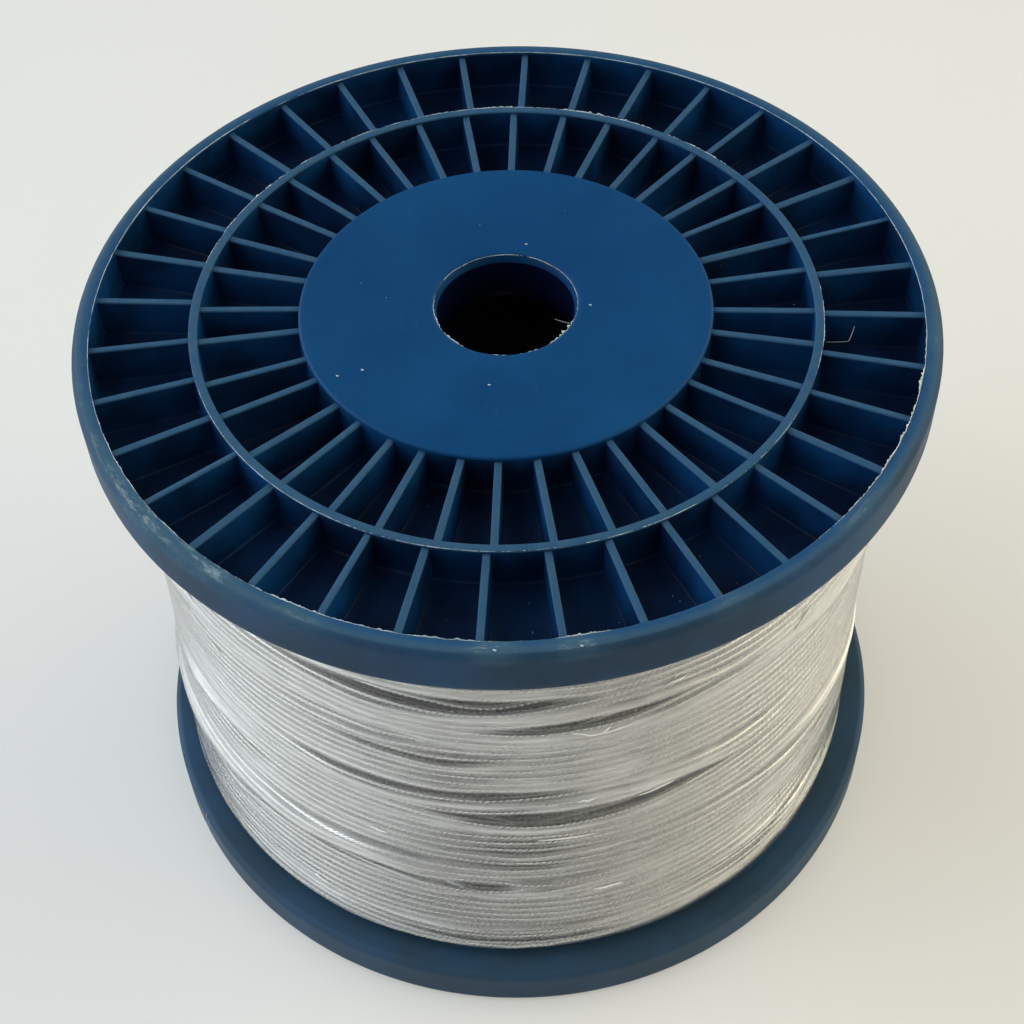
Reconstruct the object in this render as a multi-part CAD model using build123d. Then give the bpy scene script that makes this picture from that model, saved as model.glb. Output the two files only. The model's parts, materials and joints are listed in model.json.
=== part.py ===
from build123d import *
from math import cos, radians
import os

# A moulded plastic wire reel, full of stranded steel wire under stretch film.
# Millimetres. The reel stands on its lower flange: +Z is its axis, z = 0 is the floor.

# Driving dimensions
flange_diameter = 125.0
overall_width = 97.0
flange_thickness = 8.0
bore_diameter = 20.0
hub_diameter = 60.0
barrel_wall = 2.5

# Flange moulding, measured from its outer face inwards
rim_wall = 2.5
rim_round = 1.25
rim_inner_chamfer = 0.15
pocket_depth = 6.7
ring_mid_radius = 45.15
ring_wall = 1.3
ring_recess = 0.25
wall_draft = 0.15
hub_edge_round = 0.4
hub_plate = 2.0
collar_wall = 2.5
bore_chamfer_width = 0.55
bore_chamfer_depth = 1.2

# Ribs: one row outside the ring, one row inside it
rib_count = 36
rib_top_width = 1.05
rib_root_width = 1.3
rib_recess = 0.8
rib_bite = 0.3
outer_rib_phase = 5.3
inner_rib_phase = 6.6
inner_rib_wander = 0.65

# Spigot that locates the flange in the barrel, and the gussets inside the hub
spigot_wall = 2.1
spigot_gap = 0.2
spigot_length = 10.0
gusset_count = 6
gusset_width = 1.5

# Wire and film
wire_diameter = 1.5
winding_gap = 0.1
winding_radius_low = 58.7
winding_radius_middle = 57.5
winding_radius_top = 57.2
start_hole_diameter = 3.0
start_hole_height = 13.0
start_tail_inside = 4.0
film_gap = 0.05
film_thickness = 0.3
film_low_edge = 11.0
film_top_gap = 0.3

# Worked out
flange_radius = flange_diameter / 2
bore_radius = bore_diameter / 2
hub_radius = hub_diameter / 2
rim_inner_radius = flange_radius - rim_wall
ring_inner_radius = ring_mid_radius - ring_wall / 2
ring_outer_radius = ring_mid_radius + ring_wall / 2
collar_radius = bore_radius + collar_wall
barrel_radius = hub_radius
barrel_inner_radius = barrel_radius - barrel_wall
spigot_radius = barrel_inner_radius - spigot_gap
spigot_inner_radius = spigot_radius - spigot_wall
traverse_low = flange_thickness
traverse_high = overall_width - flange_thickness
rib_pitch = 360 / rib_count


def flange_section():
    """Half section of the flange, x = radius and y = distance from its outer face."""
    floor = pocket_depth
    back = flange_thickness
    tip = flange_thickness + spigot_length
    round_start = flange_radius - rim_round
    diagonal = rim_round * (1 - cos(radians(45)))
    hub_diagonal = hub_edge_round * (1 - cos(radians(45)))
    outline = [
        Line((bore_radius + bore_chamfer_width, 0), (hub_radius - hub_edge_round, 0)),
        ThreePointArc(
            (hub_radius - hub_edge_round, 0),
            (hub_radius - hub_diagonal, hub_diagonal),
            (hub_radius, hub_edge_round),
        ),
        Polyline(
            (hub_radius, hub_edge_round),
            (hub_radius, floor),
            (ring_inner_radius - wall_draft, floor),
            (ring_inner_radius, ring_recess),
            (ring_outer_radius, ring_recess),
            (ring_outer_radius + wall_draft, floor),
            (rim_inner_radius, floor),
            (rim_inner_radius, rim_inner_chamfer),
            (rim_inner_radius + rim_inner_chamfer, 0),
            (round_start, 0),
        ),
        ThreePointArc(
            (round_start, 0), (flange_radius - diagonal, diagonal), (flange_radius, rim_round)
        ),
        Line((flange_radius, rim_round), (flange_radius, back - rim_round)),
        ThreePointArc(
            (flange_radius, back - rim_round),
            (flange_radius - diagonal, back - diagonal),
            (round_start, back),
        ),
        Polyline(
            (round_start, back),
            (spigot_radius, back),
            (spigot_radius, tip),
            (spigot_inner_radius, tip),
            (spigot_inner_radius, hub_plate),
            (collar_radius, hub_plate),
            (collar_radius, back),
            (bore_radius, back),
            (bore_radius, bore_chamfer_depth),
            (bore_radius + bore_chamfer_width, 0),
        ),
    ]
    return make_face(outline)


def radial_wall(inner, outer, section):
    """A wall along +X from radius inner to outer; section is (half width, depth) at both edges."""
    (top_half, top), (root_half, root) = section
    corners = [(-top_half, top), (top_half, top), (root_half, root), (-root_half, root)]
    return extrude(Plane.YZ.offset(inner) * Polygon(*corners, align=None), amount=outer - inner)


def inner_rib_angle(index):
    """The inner ribs wander: every other one leans a little to the other side."""
    side = 1 if index % 2 == 0 else -1
    even = index * rib_pitch
    return inner_rib_phase + even + side * inner_rib_wander * cos(radians(even))


def flange():
    """One flange with its outer face at z = 0 and its spigot pointing up."""
    body = revolve(Plane.XZ * flange_section(), Axis.Z)
    rib_top = (rib_top_width / 2, rib_recess)
    rib_root = (rib_root_width / 2, pocket_depth + rib_bite)
    outer_rib = radial_wall(ring_outer_radius - rib_bite, rim_inner_radius + rib_bite, (rib_top, rib_root))
    inner_rib = radial_wall(hub_radius - rib_bite, ring_inner_radius + rib_bite, (rib_top, rib_root))
    gusset_section = ((gusset_width / 2, hub_plate - rib_bite), (gusset_width / 2, flange_thickness))
    gusset = radial_wall(collar_radius - rib_bite, spigot_inner_radius + rib_bite, gusset_section)
    walls = [Rot(0, 0, -(outer_rib_phase + k * rib_pitch)) * outer_rib for k in range(rib_count)]
    walls += [Rot(0, 0, -inner_rib_angle(k)) * inner_rib for k in range(rib_count)]
    walls += [Rot(0, 0, k * 360 / gusset_count) * gusset for k in range(gusset_count)]
    return body.fuse(*walls)


def barrel():
    """The tube between the flanges, with the hole that the wire's inner end is hooked through."""
    length = traverse_high - traverse_low
    tube = Cylinder(barrel_radius, length) - Cylinder(barrel_inner_radius, length)
    tube = Pos(0, 0, overall_width / 2) * tube
    hole = Cylinder(start_hole_diameter / 2, barrel_wall * 3)
    return tube - Pos(0, barrel_radius, traverse_low + start_hole_height) * Rot(90, 0, 0) * hole


def winding_edge(offset, low, high):
    """The winding's slightly uneven outer line, moved outwards by offset."""
    return Spline(
        (winding_radius_low + offset, low),
        (winding_radius_middle + offset, overall_width / 2),
        (winding_radius_top + offset, high),
    )


def wire_winding():
    """All the turns as one closed body, with the start of the wire hooked into the barrel."""
    inner = barrel_radius + winding_gap
    edge = winding_edge(0, traverse_low, traverse_high)
    rest = Polyline(edge @ 1, (inner, traverse_high), (inner, traverse_low), edge @ 0)
    turns = revolve(Plane.XZ * make_face([edge, rest]), Axis.Z)
    reach = barrel_wall + start_tail_inside + wire_diameter
    tail = Cylinder(wire_diameter / 2, reach, align=(Align.CENTER, Align.CENTER, Align.MIN))
    start = Pos(0, inner + wire_diameter, traverse_low + start_hole_height) * Rot(90, 0, 0)
    return turns + start * tail


def stretch_film():
    """The clear film round the winding, from just above the lower flange to the upper one."""
    low = film_low_edge
    high = traverse_high - film_top_gap
    inner = winding_edge(film_gap, low, high)
    outer = winding_edge(film_gap + film_thickness, low, high)
    section = make_face([inner, Line(inner @ 1, outer @ 1), outer, Line(outer @ 0, inner @ 0)])
    return revolve(Plane.XZ * section, Axis.Z)


lower_flange = flange()
upper_flange = Pos(0, 0, overall_width) * Rot(180, 0, 0) * lower_flange

nodes = {
    "upper_flange": upper_flange,
    "lower_flange": lower_flange,
    "barrel": barrel(),
    "wire_winding": wire_winding(),
    "stretch_film": stretch_film(),
}

os.makedirs("parts", exist_ok=True)
for name, shape in nodes.items():
    export_step(shape, f"parts/{name}.step")
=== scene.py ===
import json
import math

import bpy
import numpy as np
from mathutils import Matrix, Vector


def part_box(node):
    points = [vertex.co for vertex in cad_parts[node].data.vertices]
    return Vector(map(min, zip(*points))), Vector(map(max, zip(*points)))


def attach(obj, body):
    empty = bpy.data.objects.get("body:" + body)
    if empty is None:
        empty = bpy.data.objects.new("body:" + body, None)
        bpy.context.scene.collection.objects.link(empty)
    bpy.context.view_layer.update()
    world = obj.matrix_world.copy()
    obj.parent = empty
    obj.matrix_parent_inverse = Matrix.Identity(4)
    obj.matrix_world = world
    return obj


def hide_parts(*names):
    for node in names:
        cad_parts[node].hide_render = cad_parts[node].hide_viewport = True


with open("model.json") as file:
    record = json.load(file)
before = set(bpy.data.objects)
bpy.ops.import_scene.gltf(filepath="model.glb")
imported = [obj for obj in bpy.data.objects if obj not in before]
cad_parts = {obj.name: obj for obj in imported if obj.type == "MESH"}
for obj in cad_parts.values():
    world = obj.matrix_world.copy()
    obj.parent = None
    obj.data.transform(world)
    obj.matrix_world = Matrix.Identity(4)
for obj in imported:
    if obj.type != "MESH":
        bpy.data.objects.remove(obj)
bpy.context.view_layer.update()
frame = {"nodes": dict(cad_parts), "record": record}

MM = 0.001
TAU = 2 * math.pi

# Driving dimensions, in millimetres like the design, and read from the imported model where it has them
flange_low, flange_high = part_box("upper_flange")
winding_low, winding_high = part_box("wire_winding")
OVERALL = flange_high.z / MM
FLANGE_R = flange_high.x / MM
TRAVERSE_LOW = winding_low.z / MM
TRAVERSE_HIGH = winding_high.z / MM
FLANGE_T = OVERALL - TRAVERSE_HIGH


# ---------------- camera, floor and light

ROOM_LIGHT = 3.25
CEILING_LIGHT = 3
GLINT_LIGHT = 1.5
FLOOR_GLOW = 0.30


def camera():
    """Looks down on the reel from the front."""
    data = bpy.data.cameras.new("view")
    data.sensor_width = 36
    data.lens = 63.15
    data.clip_start = 0.01
    data.clip_end = 50
    obj = bpy.data.objects.new("view", data)
    bpy.context.scene.collection.objects.link(obj)
    right = Vector((0.99922, -0.03031, -0.02532))
    up = Vector((0.03950, 0.76680, 0.64071))
    back = right.cross(up).normalized()
    turn = Matrix((right, up, back)).transposed().to_4x4()
    obj.matrix_world = Matrix.Translation((-0.00024, -0.18962, 0.27679)) @ turn
    bpy.context.scene.camera = obj


def area_light(name, place, target, size, power, colour):
    """A rectangular lamp that points at the target."""
    data = bpy.data.lights.new(name, "AREA")
    data.shape = "RECTANGLE"
    data.size, data.size_y = size
    data.energy = power
    data.color = colour
    obj = bpy.data.objects.new(name, data)
    bpy.context.scene.collection.objects.link(obj)
    obj.location = place
    obj.rotation_euler = (Vector(target) - Vector(place)).to_track_quat("-Z", "Y").to_euler()


def room():
    """The light of the room: cool daylight on the left, warm on the right, dim between them and in front."""
    world = bpy.data.worlds.new("room")
    bpy.context.scene.world = world
    world.use_nodes = True
    nodes, links = world.node_tree.nodes, world.node_tree.links
    split = nodes.new("ShaderNodeSeparateXYZ")
    links.new(nodes.new("ShaderNodeTexCoord").outputs["Generated"], split.inputs["Vector"])
    side = nodes.new("ShaderNodeMapRange")
    side.inputs["From Min"].default_value = -1
    links.new(split.outputs["X"], side.inputs["Value"])
    ramp = nodes.new("ShaderNodeValToRGB")
    links.new(side.outputs["Result"], ramp.inputs["Fac"])
    stops = [
        (0.0, (1.15, 1.22, 1.27)),
        (0.16, (0.84, 0.90, 0.95)),
        (0.36, (0.13, 0.15, 0.17)),
        (0.5, (0.03, 0.035, 0.04)),
        (0.64, (0.115, 0.11, 0.10)),
        (0.84, (0.80, 0.74, 0.60)),
        (1.0, (1.16, 1.06, 0.84)),
    ]
    marks = ramp.color_ramp.elements
    while len(marks) < len(stops):
        marks.new(0.5)
    for mark, (place, colour) in zip(marks, stops):
        mark.position = place
        mark.color = (*colour, 1)
    front = nodes.new("ShaderNodeMapRange")
    front.inputs["From Min"].default_value = -0.95
    front.inputs["From Max"].default_value = 0.1
    front.inputs["To Min"].default_value = 0.12
    links.new(split.outputs["Y"], front.inputs["Value"])
    dim = nodes.new("ShaderNodeVectorMath")
    dim.operation = "SCALE"
    links.new(ramp.outputs["Color"], dim.inputs[0])
    links.new(front.outputs["Result"], dim.inputs["Scale"])
    links.new(dim.outputs["Vector"], nodes["Background"].inputs["Color"])
    nodes["Background"].inputs["Strength"].default_value = ROOM_LIGHT


def studio():
    """A pale sheet in a room with daylight on both sides, and one small lamp that makes the glints."""
    scene = bpy.context.scene
    scene.view_settings.view_transform = "Standard"
    scene.view_settings.look = "None"
    room()
    area_light("ceiling", (-0.1, -0.5, 2.2), (0, 0, 0.05), (1.6, 1.2), CEILING_LIGHT, (0.98, 1.0, 0.98))
    area_light("glint", (-0.95, -0.2, 1.8), (0, 0, 0.05), (0.14, 0.14), GLINT_LIGHT, (1.0, 0.98, 0.94))

    size = 4.0
    mesh = bpy.data.meshes.new("floor")
    corners = [(-size, -size, 0), (size, -size, 0), (size, size, 0), (-size, size, 0)]
    mesh.from_pydata(corners, [], [(0, 1, 2, 3)])
    floor = bpy.data.objects.new("floor", mesh)
    scene.collection.objects.link(floor)
    floor.location.z = -0.0001
    mesh.materials.append(floor_material())


# ---------------- materials

class Shader:
    """A small helper that adds and joins the nodes of one material."""

    def __init__(self, name):
        self.material = bpy.data.materials.new(name)
        self.material.use_nodes = True
        self.tree = self.material.node_tree
        self.tree.nodes.clear()
        self.coordinates = self.node("ShaderNodeTexCoord").outputs["Object"]

    def node(self, kind, **values):
        made = self.tree.nodes.new(kind)
        for key, value in values.items():
            setattr(made, key, value)
        return made

    def put(self, socket, value):
        if isinstance(value, bpy.types.NodeSocket):
            self.tree.links.new(value, socket)
        else:
            socket.default_value = value

    def noise_at(self, place, scale, detail, roughness, distortion=0.0):
        made = self.node("ShaderNodeTexNoise")
        self.put(made.inputs["Vector"], place)
        made.inputs["Scale"].default_value = scale
        made.inputs["Detail"].default_value = detail
        made.inputs["Roughness"].default_value = roughness
        made.inputs["Distortion"].default_value = distortion
        return made.outputs["Fac"]

    def noise(self, scale, detail=4.0, roughness=0.55, stretch=(1, 1, 1), distortion=0.0):
        mapping = self.node("ShaderNodeMapping")
        self.put(mapping.inputs["Vector"], self.coordinates)
        mapping.inputs["Scale"].default_value = stretch
        return self.noise_at(mapping.outputs["Vector"], scale, detail, roughness, distortion)

    def streaks_round(self, scale, detail, roughness, squeeze):
        """Noise that is drawn out round the reel's axis."""
        x, y, z = self.axes()
        turn = self.maths("ARCTAN2", x, y)
        across = self.maths("ADD", self.maths("MULTIPLY", x, x), self.maths("MULTIPLY", y, y))
        place = self.node("ShaderNodeCombineXYZ")
        self.put(place.inputs["X"], self.maths("MULTIPLY", turn, squeeze * FLANGE_R * MM))
        self.put(place.inputs["Y"], self.maths("SQRT", across))
        self.put(place.inputs["Z"], z)
        return self.noise_at(place.outputs["Vector"], scale, detail, roughness)

    def ramp(self, value, *stops):
        made = self.node("ShaderNodeValToRGB")
        self.put(made.inputs["Fac"], value)
        marks = made.color_ramp.elements
        while len(marks) < len(stops):
            marks.new(0.5)
        for mark, (place, colour) in zip(marks, stops):
            mark.position = place
            if isinstance(colour, (int, float)):
                colour = (colour, colour, colour)
            mark.color = (*colour, 1)
        return made.outputs["Color"]

    def mix(self, share, a, b, kind="MIX"):
        made = self.node("ShaderNodeMix", data_type="RGBA", blend_type=kind)
        self.put(made.inputs["Factor"], share)
        self.put(made.inputs["A"], a if isinstance(a, bpy.types.NodeSocket) else (*a, 1))
        self.put(made.inputs["B"], b if isinstance(b, bpy.types.NodeSocket) else (*b, 1))
        return made.outputs["Result"]

    def maths(self, kind, a, b=0.0, clamp=False):
        made = self.node("ShaderNodeMath", operation=kind, use_clamp=clamp)
        self.put(made.inputs[0], a)
        self.put(made.inputs[1], b)
        return made.outputs["Value"]

    def attribute(self, name):
        made = self.node("ShaderNodeAttribute", attribute_name=name)
        return made.outputs["Fac"]

    def bump(self, height, distance, strength=1.0, below=None):
        made = self.node("ShaderNodeBump")
        self.put(made.inputs["Height"], height)
        made.inputs["Distance"].default_value = distance
        made.inputs["Strength"].default_value = strength
        if below is not None:
            self.put(made.inputs["Normal"], below)
        return made.outputs["Normal"]

    def axes(self):
        """The place on the object, as its three coordinates."""
        made = self.node("ShaderNodeSeparateXYZ")
        self.put(made.inputs["Vector"], self.coordinates)
        return made.outputs["X"], made.outputs["Y"], made.outputs["Z"]

    def principled(self, **values):
        made = self.node("ShaderNodeBsdfPrincipled")
        for key, value in values.items():
            self.put(made.inputs[key.replace("_", " ")], value)
        return made.outputs["BSDF"]

    def mix_shaders(self, share, a, b):
        made = self.node("ShaderNodeMixShader")
        for socket, value in zip(made.inputs, (share, a, b)):
            self.put(socket, value)
        return made.outputs["Shader"]

    def finish(self, surface):
        output = self.node("ShaderNodeOutputMaterial")
        self.put(output.inputs["Surface"], surface)
        return self.material


def floor_material():
    """Matt white sheet that glows a little, cool on the left and warm on the right, dimmer at the back."""
    s = Shader("floor")
    shade = s.ramp(s.noise(6, 3), (0.3, (0.44, 0.44, 0.435)), (0.7, (0.46, 0.46, 0.455)))
    x, y, _ = s.axes()
    across = s.maths("ADD", s.maths("MULTIPLY", x, 2.2), 0.5, clamp=True)
    glow = s.ramp(across, (0.0, (0.86, 0.93, 1.0)), (1.0, (1.0, 0.93, 0.72)))
    back = s.maths("SUBTRACT", 1.0, s.maths("MULTIPLY", y, 0.9, clamp=True))
    glow = {"Emission_Color": glow, "Emission_Strength": s.maths("MULTIPLY", back, FLOOR_GLOW)}
    return s.finish(s.principled(Base_Color=shade, Roughness=0.85, Specular_IOR_Level=0.2, **glow))


def plastic_material():
    """Moulded blue plastic with painted shade. "open" at 1 keeps the face colour; lower it paints shade in
    pockets, on rib sides, side walls and undersides, and below 0 darker shade on pocket floors and in the
    bore. Rubbing lightens it, and along the rim's outer edge it also paints a highlight; "dust" greys.
    """
    s = Shader("blue_plastic")
    mottle = s.noise(55, 6, 0.6)
    cloud = s.noise(18, 3, 0.5)
    face = s.mix(s.ramp(mottle, (0.35, 0.0), (0.7, 1.0)), (0.002, 0.038, 0.123), (0.003, 0.050, 0.149))
    faded = s.maths("MULTIPLY", s.ramp(cloud, (0.4, 0.0), (0.75, 1.0)), 0.3)
    face = s.mix(faded, face, (0.007, 0.063, 0.155))
    uneven = s.ramp(s.noise(75, 3, 0.5), (0.42, 0.0), (0.64, 1.0))
    # painted shade: a darker colour for pockets, rib sides, side walls and undersides
    painted_shade = s.mix(uneven, (0.0018, 0.014, 0.046), (0.0034, 0.039, 0.125))
    not_deep_shade = s.maths("ADD", s.attribute("open"), 1.0, clamp=True)
    # painted shade: darker still on pocket floors and darkest in the bore, where "open" falls below 0
    painted_shade = s.mix(not_deep_shade, (0.0006, 0.0032, 0.017), painted_shade)
    # the face colour where "open" is 1, the painted shade where it is lower
    base = s.mix(s.maths("ADD", s.attribute("open"), 0.0, clamp=True), painted_shade, face)
    scratches = s.noise(900, 3, 0.7, stretch=(1, 0.12, 0.4), distortion=0.6)
    scratches = s.ramp(scratches, (0.68, 0.0), (0.76, 1.0))
    specks = s.ramp(s.noise(1100, 2, 0.5), (0.75, 0.0), (0.80, 1.0))
    marks = s.maths("MAXIMUM", s.maths("MULTIPLY", scratches, 0.06), s.maths("MULTIPLY", specks, 0.16))
    colour = s.mix(marks, base, (0.16, 0.26, 0.34))
    # rubbed lighter where worn, and along the rim's outer edge a painted highlight
    wear_and_edge_highlight = s.attribute("wear_and_edge_highlight")
    broken = s.ramp(s.noise(420, 7, 0.78), (0.34, 0.55), (0.64, 1.0))
    rubbed_and_edge_highlight = s.maths("MULTIPLY", wear_and_edge_highlight, broken, clamp=True)
    colour = s.mix(rubbed_and_edge_highlight, colour, (0.035, 0.088, 0.146))
    chipped = s.ramp(s.streaks_round(800, 7, 0.8, 0.3), (0.51, 0.0), (0.63, 1.0))
    scuffed = s.maths("SUBTRACT", wear_and_edge_highlight, 1.0, clamp=True)
    colour = s.mix(s.maths("MULTIPLY", scuffed, chipped), colour, (0.34, 0.43, 0.47))
    colour = s.mix(s.attribute("dust"), colour, (0.044, 0.078, 0.096))
    rough = s.maths("ADD", s.maths("MULTIPLY", mottle, 0.16), 0.34)
    rough = s.maths("ADD", rough, s.maths("MULTIPLY", rubbed_and_edge_highlight, 0.14), clamp=True)
    fine = s.bump(s.noise(1400, 4, 0.6), 0.00002, 0.5)
    broad = s.bump(s.noise(90, 3, 0.5), 0.00012, 0.5, below=fine)
    gloss = {"IOR": 1.5, "Specular_IOR_Level": 0.08}
    return s.finish(s.principled(Base_Color=colour, Roughness=rough, Normal=broad, **gloss))


def burr_material():
    """Thin moulding flash and plastic dust: the same plastic, torn and pale."""
    s = Shader("burr")
    colour = s.ramp(s.noise(500, 4), (0.35, (0.16, 0.27, 0.35)), (0.62, (0.55, 0.62, 0.65)))
    rough = s.ramp(s.noise(800, 2), (0.3, 0.4), (0.7, 0.6))
    return s.finish(s.principled(Base_Color=colour, Roughness=rough))


def fibre_material():
    """A pale textile hair."""
    s = Shader("fibre")
    colour = s.ramp(s.noise(900, 2), (0.3, (0.24, 0.27, 0.28)), (0.7, (0.42, 0.45, 0.45)))
    return s.finish(s.principled(Base_Color=colour, Roughness=0.6))


def fold_material():
    """A tight fold of the film, where several thicknesses lie together: white and glossy."""
    s = Shader("film_fold")
    colour = s.ramp(s.noise(700, 3), (0.3, (0.78, 0.79, 0.77)), (0.7, (0.93, 0.93, 0.91)))
    rough = s.ramp(s.noise(900, 2), (0.3, 0.12), (0.7, 0.3))
    return s.finish(s.principled(Base_Color=colour, Roughness=rough, Specular_IOR_Level=0.8))


def wire_material():
    """Bright drawn steel, with a little variation from wire to wire."""
    s = Shader("steel_wire")
    patch = s.noise(60, 4, 0.6)
    colour = s.ramp(patch, (0.3, (0.71, 0.71, 0.69)), (0.7, (0.85, 0.845, 0.82)))
    grain = s.noise(500, 3, 0.6)
    rough = s.ramp(grain, (0.3, 0.17), (0.7, 0.32))
    normal = s.bump(s.noise(1800, 2, 0.6), 0.00001, 0.2)
    return s.finish(s.principled(Base_Color=colour, Metallic=1.0, Roughness=rough, Normal=normal))


def core_material():
    """The layers under the outer turns: the same steel, dull, painted dark as shade."""
    s = Shader("wire_core")
    groove_pitch = 1.55 * MM
    turns = s.bump(s.maths("SINE", s.maths("MULTIPLY", s.axes()[2], TAU / groove_pitch)), 0.0006)
    # painted shade: the buried layers are coloured dark
    shade = s.ramp(s.noise(80, 3), (0.3, (0.04, 0.04, 0.04)), (0.7, (0.09, 0.09, 0.085)))
    return s.finish(s.principled(Base_Color=shade, Metallic=0.8, Roughness=0.5, Normal=turns))


def film_material():
    """Thin stretch film: milky in long streaks where it touches the turns, clear over the gaps, and whiter on
    the winding's left side as painted light.
    """
    s = Shader("clear_film")
    creases = s.noise(150, 4, 0.6, stretch=(1, 1, 5))
    fine = s.noise(1100, 3, 0.6, stretch=(1, 1, 2.5))
    normal = s.bump(creases, 0.0003, 0.6, below=s.bump(fine, 0.00004, 0.5))
    streaks = s.ramp(s.noise(38, 6, 0.68, stretch=(1, 1, 9)), (0.36, 0.50), (0.60, 1.0))
    threads = s.ramp(s.noise(240, 3, 0.6, stretch=(1, 1, 6)), (0.38, 0.82), (0.62, 1.0))
    cloud = s.ramp(s.noise(14, 3, 0.5), (0.38, 0.84), (0.62, 1.0))
    contact = s.ramp(s.attribute("haze"), (0.0, 0.02), (0.5, 0.36), (1.0, 0.86))
    haze = s.maths("MULTIPLY", s.maths("MULTIPLY", streaks, threads), s.maths("MULTIPLY", cloud, contact))
    # the stretched-white patch on the right, and painted light that whitens the left side
    haze = s.maths("ADD", haze, s.maths("MULTIPLY", s.attribute("milk_and_painted_light"), 0.22), clamp=True)
    clear = s.node("ShaderNodeBsdfTransparent")
    clear.inputs["Color"].default_value = (0.97, 0.975, 0.97, 1)
    white = s.principled(Base_Color=(0.93, 0.935, 0.92, 1), Roughness=0.35, Normal=normal)
    shine = s.node("ShaderNodeBsdfGlossy")
    shine.inputs["Roughness"].default_value = 0.14
    s.put(shine.inputs["Normal"], normal)
    edge = s.node("ShaderNodeFresnel")
    edge.inputs["IOR"].default_value = 1.45
    s.put(edge.inputs["Normal"], normal)
    base = s.mix_shaders(haze, clear.outputs["BSDF"], white)
    glossy = s.maths("MULTIPLY", edge.outputs["Fac"], 1.3, clamp=True)
    return s.finish(s.mix_shaders(glossy, base, shine.outputs["BSDF"]))


# ---------------- mesh helpers

def grid_object(name, points, wrap_rows=False, wrap_columns=True, flip=False, material=None, extra=None):
    """A piece from a grid of points in millimetres, points[row, column]. extra adds vertex attributes."""
    rows, columns = points.shape[:2]
    index = np.arange(rows * columns).reshape(rows, columns)
    upper = np.roll(index, -1, 0) if wrap_rows else index[1:]
    lower = index if wrap_rows else index[:-1]
    next_lower, next_upper = np.roll(lower, -1, 1), np.roll(upper, -1, 1)
    if not wrap_columns:
        lower, upper = lower[:, :-1], upper[:, :-1]
        next_lower, next_upper = next_lower[:, :-1], next_upper[:, :-1]
    quads = np.stack([lower, next_lower, next_upper, upper], -1).reshape(-1, 4)
    if flip:
        quads = quads[:, ::-1]
    return mesh_object(name, points.reshape(-1, 3), quads, material, extra)


def mesh_object(name, points, faces, material=None, extra=None):
    """A smooth piece from points in millimetres and faces that all have the same number of corners."""
    mesh = bpy.data.meshes.new(name)
    corners = faces.shape[1]
    mesh.vertices.add(len(points))
    mesh.vertices.foreach_set("co", (points * MM).astype(np.float32).ravel())
    mesh.loops.add(faces.size)
    mesh.loops.foreach_set("vertex_index", faces.astype(np.int32).ravel())
    mesh.polygons.add(len(faces))
    mesh.polygons.foreach_set("loop_start", np.arange(0, faces.size, corners, dtype=np.int32))
    mesh.polygons.foreach_set("use_smooth", np.ones(len(faces), bool))
    mesh.update(calc_edges=True)
    for key, values in (extra or {}).items():
        attribute = mesh.attributes.new(key, "FLOAT", "POINT")
        attribute.data.foreach_set("value", values.astype(np.float32).ravel())
    mesh.validate()
    obj = bpy.data.objects.new(name, mesh)
    bpy.context.scene.collection.objects.link(obj)
    if material:
        mesh.materials.append(material)
    return obj


def around(radius, turn, height):
    """Points from radii, angles in radians and heights."""
    x, y = radius * np.cos(turn), radius * np.sin(turn)
    return np.stack([x, y, np.broadcast_to(height, x.shape)], -1)


def polar(radius, angle, height):
    """One point from its radius, its azimuth in degrees and its height."""
    return around(radius, math.radians(angle), height)


def smooth_noise(shape, cells, seed):
    """Noise from -1 to 1 on a grid, periodic along its last axis, with that many cells along each axis."""
    local = np.random.default_rng(seed)
    knots = local.uniform(-1, 1, (cells[0] + 3, cells[1]))
    y = np.linspace(0, cells[0], shape[0])
    x = np.linspace(0, cells[1], shape[1], endpoint=False)
    out = np.zeros(shape)
    iy, ix = np.floor(y).astype(int), np.floor(x).astype(int)
    fy, fx = y - iy, x - ix
    wy = cubic_weights(fy)
    wx = cubic_weights(fx)
    for a in range(4):
        row = np.clip(iy + a, 0, cells[0] + 2)
        for b in range(4):
            column = (ix + b) % cells[1]
            out += wy[a][:, None] * wx[b][None, :] * knots[row][:, column]
    return out * 1.5


def cubic_weights(f):
    """Weights of the uniform cubic B-spline."""
    return [(1 - f) ** 3 / 6, (3 * f**3 - 6 * f**2 + 4) / 6, (-3 * f**3 + 3 * f**2 + 3 * f + 1) / 6, f**3 / 6]


# ---------------- the flanges

BORE_R = frame["record"]["mounts"][0]["dims"]["r_mm"]
HUB_R = round(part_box("barrel")[1].x / MM, 3)
GUSSETS, GUSSET_W = 6, 1.5
RING_R, RING_WALL, RING_DOWN = 45.15, 1.3, 0.25
RIM_IN = FLANGE_R - 2.5
POCKET = 6.7
RIBS = 36
RIB_DOWN = 0.8
OUTER_PHASE = 5.3
INNER_PHASE = 6.6
INNER_WANDER = 0.65


def arc(centre, radius, start, end, count):
    """Points on an arc in the (radius, depth) section; angles in degrees, 0 is outwards and 90 is deeper."""
    turn = np.radians(np.linspace(start, end, count))
    return [(centre[0] + radius * math.cos(t), centre[1] + radius * math.sin(t)) for t in turn]


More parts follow.
